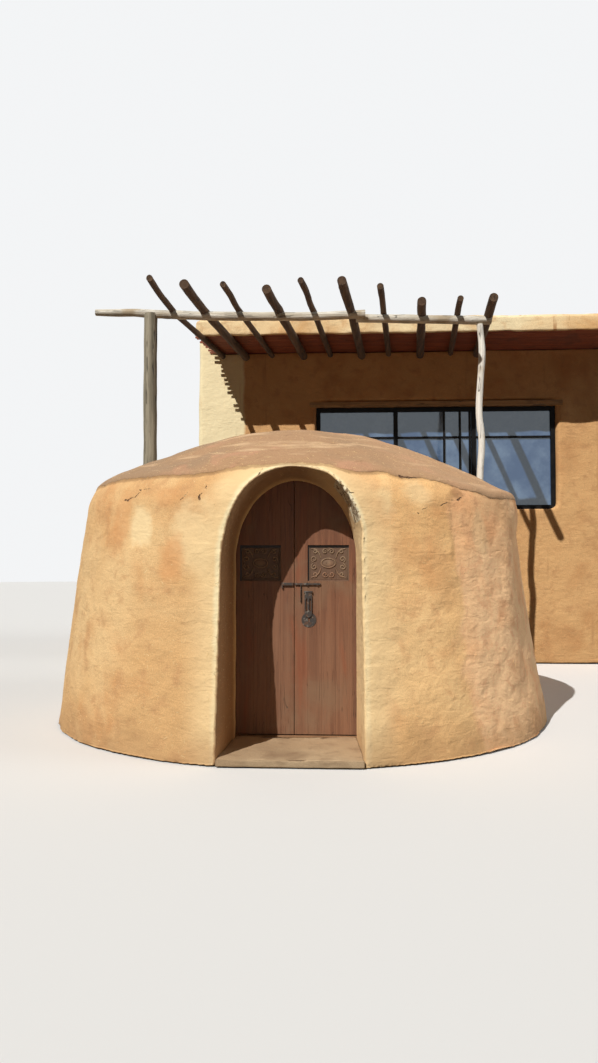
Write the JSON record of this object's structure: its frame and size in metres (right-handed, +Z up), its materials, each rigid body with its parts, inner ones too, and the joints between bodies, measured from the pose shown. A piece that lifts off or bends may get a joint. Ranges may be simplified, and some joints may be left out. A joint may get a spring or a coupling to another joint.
{
  "type": "adobe house with a domed room and a pergola",
  "caption": "Adobe house: a low domed room with an arched double door in front, and a flat-roofed house behind it under a pergola of poles.",
  "frame": {"origin": "plan centre of the round domed room, on the ground under its floor", "axes": "+X to the right seen from the entrance, +Y from the entrance to the back of the house, +Z up"},
  "size_m": [7.768, 10.0197, 4.73],
  "materials": {
    "adobe_plaster": "rough hand-smoothed earth plaster",
    "roof_plaster": "weathered earth plaster",
    "earth_floor": "packed earth",
    "step_stone": "worn stone",
    "door_wood": "dark oiled planks",
    "carved_wood": "weathered carving",
    "black_iron": "forged black iron",
    "peeled_pole": "peeled and sun-bleached",
    "grey_post": "weathered grey",
    "dark_rafter": "dark weathered pole",
    "roof_board": "sawn boards",
    "lintel_wood": "sawn timber",
    "dark_frame": "dark satin",
    "window_glass": "clear, reflecting"
  },
  "bodies": {
    "house": {"beam_left": "peeled_pole", "beam_right": "peeled_pole", "dome_floor": "earth_floor", "dome_roof": "roof_plaster", "dome_wall_back": "adobe_plaster", "dome_wall_left": "adobe_plaster", "dome_wall_right": "adobe_plaster", "door_arch": "adobe_plaster", "door_frame": "door_wood", "door_pier_left": "adobe_plaster", "door_pier_right": "adobe_plaster", "doorstep": "step_stone", "front_pier_left": "adobe_plaster", "front_pier_right": "adobe_plaster", "front_wall_base": "adobe_plaster", "front_wall_top": "adobe_plaster", "house_wall_back": "adobe_plaster", "house_wall_left": "adobe_plaster", "house_wall_right": "adobe_plaster", "left_post": "grey_post", "rafter_1": "dark_rafter", "rafter_10": "dark_rafter", "rafter_2": "dark_rafter", "rafter_3": "dark_rafter", "rafter_4": "dark_rafter", "rafter_5": "dark_rafter", "rafter_6": "dark_rafter", "rafter_7": "dark_rafter", "rafter_8": "dark_rafter", "rafter_9": "dark_rafter", "right_post": "peeled_pole", "roof_boards": "roof_board", "roof_slab": "roof_plaster", "upper_floor": "earth_floor", "window_frame": "dark_frame", "window_glass": "window_glass", "window_lintel": "lintel_wood"},
    "left_leaf": {"left_door_leaf": "door_wood", "left_carved_panel": "carved_wood", "bolt_catch": "black_iron"},
    "right_leaf": {"right_door_leaf": "door_wood", "right_carved_panel": "carved_wood", "latch_staples": "black_iron", "lock_plate": "black_iron"},
    "bolt": {"bolt": "black_iron"},
    "hasp": {"hasp": "black_iron"}
  },
  "joints": [
    {"name": "left_leaf_swing", "type": "hinge", "parent": "house", "child": "left_leaf", "pos_m": [-0.4575, -1.4025, 1], "axis": [0, 0, 1], "range_deg": [0, 95]},
    {"name": "right_leaf_swing", "type": "hinge", "parent": "house", "child": "right_leaf", "pos_m": [0.4975, -1.4025, 1], "axis": [0, 0, -1], "range_deg": [0, 95]},
    {"name": "bolt_slide", "type": "slide", "parent": "right_leaf", "child": "bolt", "axis": [-1, 0, 0], "range_m": [0, 0.045]},
    {"name": "hasp_swing", "type": "hinge", "parent": "right_leaf", "child": "hasp", "pos_m": [0.118, -1.438, 1.188], "axis": [-1, 0, 0], "range_deg": [0, 80]}
  ]
}
